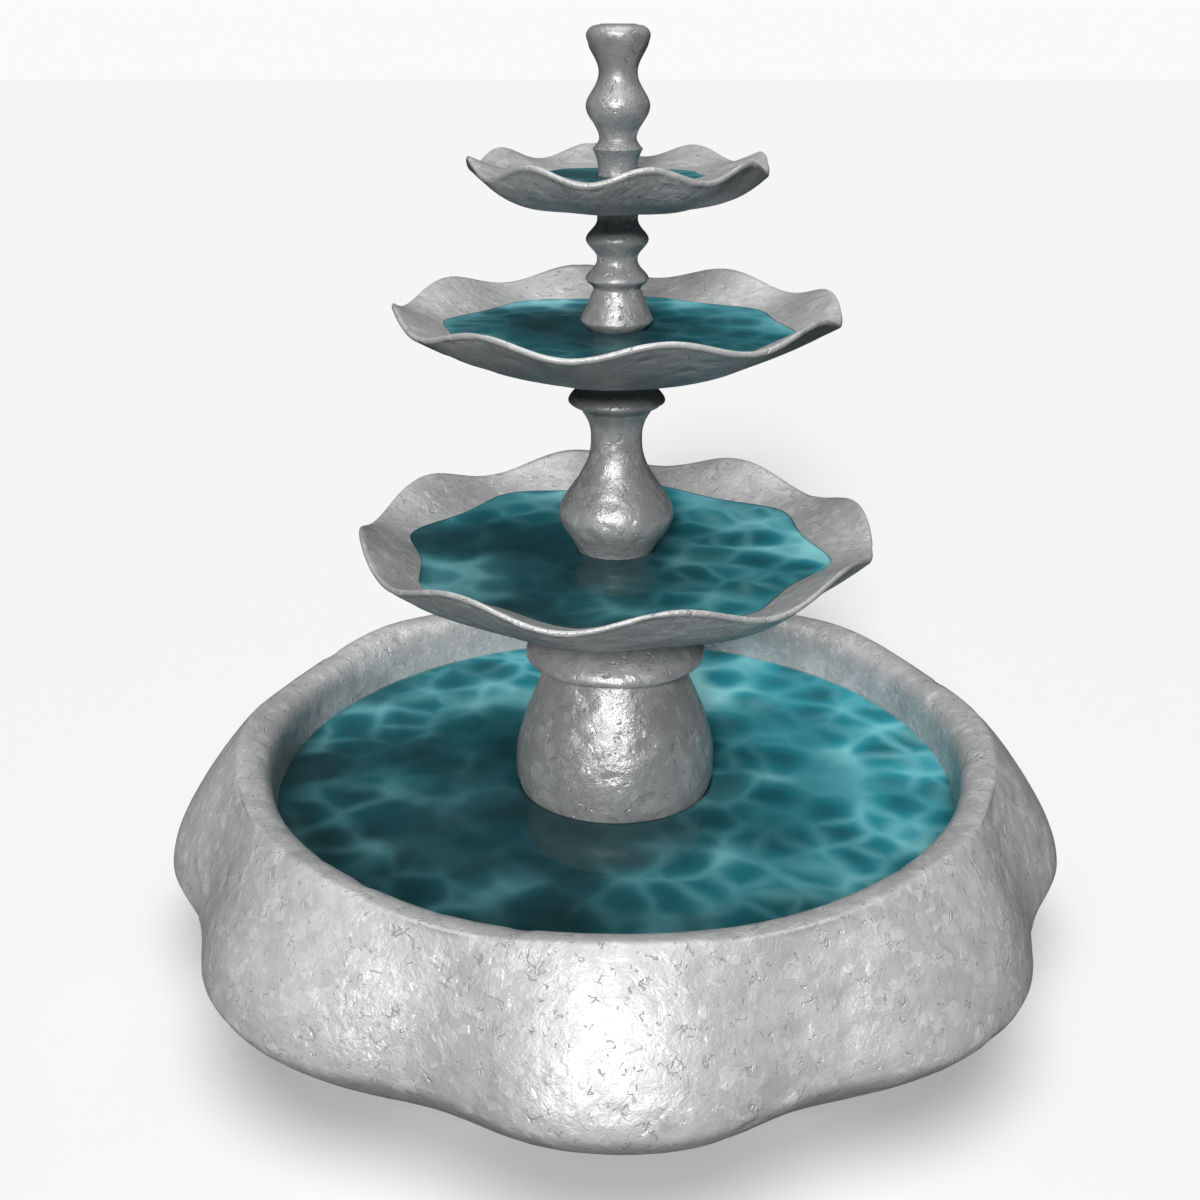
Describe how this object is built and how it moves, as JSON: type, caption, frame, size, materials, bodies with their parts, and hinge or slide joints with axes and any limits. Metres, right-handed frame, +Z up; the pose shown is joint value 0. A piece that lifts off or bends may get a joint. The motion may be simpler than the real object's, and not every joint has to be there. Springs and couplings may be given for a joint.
{
  "type": "tabletop water fountain",
  "caption": "Tabletop water fountain: scalloped bowls on turned stems over a lobed pool basin, with a hidden pump and riser.",
  "frame": {"origin": "on the ground under the fountain's axis, at the bottom of the rubber feet", "axes": "+Z up along the stems' axis; the front is -Y; the low-voltage socket is at +Y"},
  "size_m": [0.415, 0.415, 0.4024],
  "materials": {
    "cast_stone": "mottled grey cast stone, sealed, soft gloss",
    "black_plastic": "moulded, fine texture",
    "lead_sheath": "smooth sheath",
    "black_rubber": "matte",
    "seal_rubber": "matte",
    "plated_steel": "zinc plated",
    "lamination": "stacked sheets",
    "copper_wire": "enamelled winding",
    "white_ceramic": "ground",
    "white_plastic": "moulded",
    "ferrite": "moulded ferrite",
    "grey_plastic": "moulded",
    "clear_tube": "clear flexible tube",
    "brass": "turned"
  },
  "bodies": {
    "basin": {"basin": "cast_stone", "base_plate": "black_plastic", "base_screws": "plated_steel", "rubber_feet": "black_rubber", "floor_gland": "black_rubber", "dc_socket": "black_plastic", "dc_socket_nut": "plated_steel", "lead_clips": "black_plastic", "pump_lead": "lead_sheath", "lead_boot": "black_rubber", "pump_housing": "black_plastic", "pump_rear_cap": "black_plastic", "stator_core": "lamination", "stator_coils": "copper_wire", "volute_cover": "black_plastic", "volute_screws": "plated_steel", "shaft_bushes": "black_rubber", "impeller_shaft": "white_ceramic", "intake_cover": "black_plastic", "suction_cups": "black_rubber", "riser_tube": "clear_tube"},
    "impeller": {"impeller": "white_plastic", "rotor_magnet": "ferrite"},
    "flow_dial": {"flow_dial": "grey_plastic"},
    "lower_tier": {"pedestal": "cast_stone", "lower_bowl": "cast_stone"},
    "middle_tier": {"middle_seal": "seal_rubber", "middle_stem": "cast_stone", "middle_bowl": "cast_stone"},
    "upper_tier": {"upper_seal": "seal_rubber", "upper_stem": "cast_stone", "upper_bowl": "cast_stone"},
    "finial": {"finial_seal": "seal_rubber", "finial": "cast_stone", "spout_nozzle": "brass"}
  },
  "joints": [
    {"name": "impeller_spin", "type": "hinge", "parent": "basin", "child": "impeller", "pos_m": [0, 0, 0.0665], "axis": [1, 0, 0], "continuous": true},
    {"name": "flow_dial_turn", "type": "hinge", "parent": "basin", "child": "flow_dial", "pos_m": [-0.0245, 0, 0.072], "axis": [1, 0, 0], "range_deg": [0, 90]},
    {"name": "lower_tier_lift", "type": "slide", "parent": "basin", "child": "lower_tier", "axis": [0, 0, 1], "range_m": [0, 0.1]},
    {"name": "middle_tier_lift", "type": "slide", "parent": "lower_tier", "child": "middle_tier", "axis": [0, 0, 1], "range_m": [0, 0.05]},
    {"name": "upper_tier_lift", "type": "slide", "parent": "middle_tier", "child": "upper_tier", "axis": [0, 0, 1], "range_m": [0, 0.04]},
    {"name": "finial_lift", "type": "slide", "parent": "upper_tier", "child": "finial", "axis": [0, 0, 1], "range_m": [0, 0.04]}
  ]
}
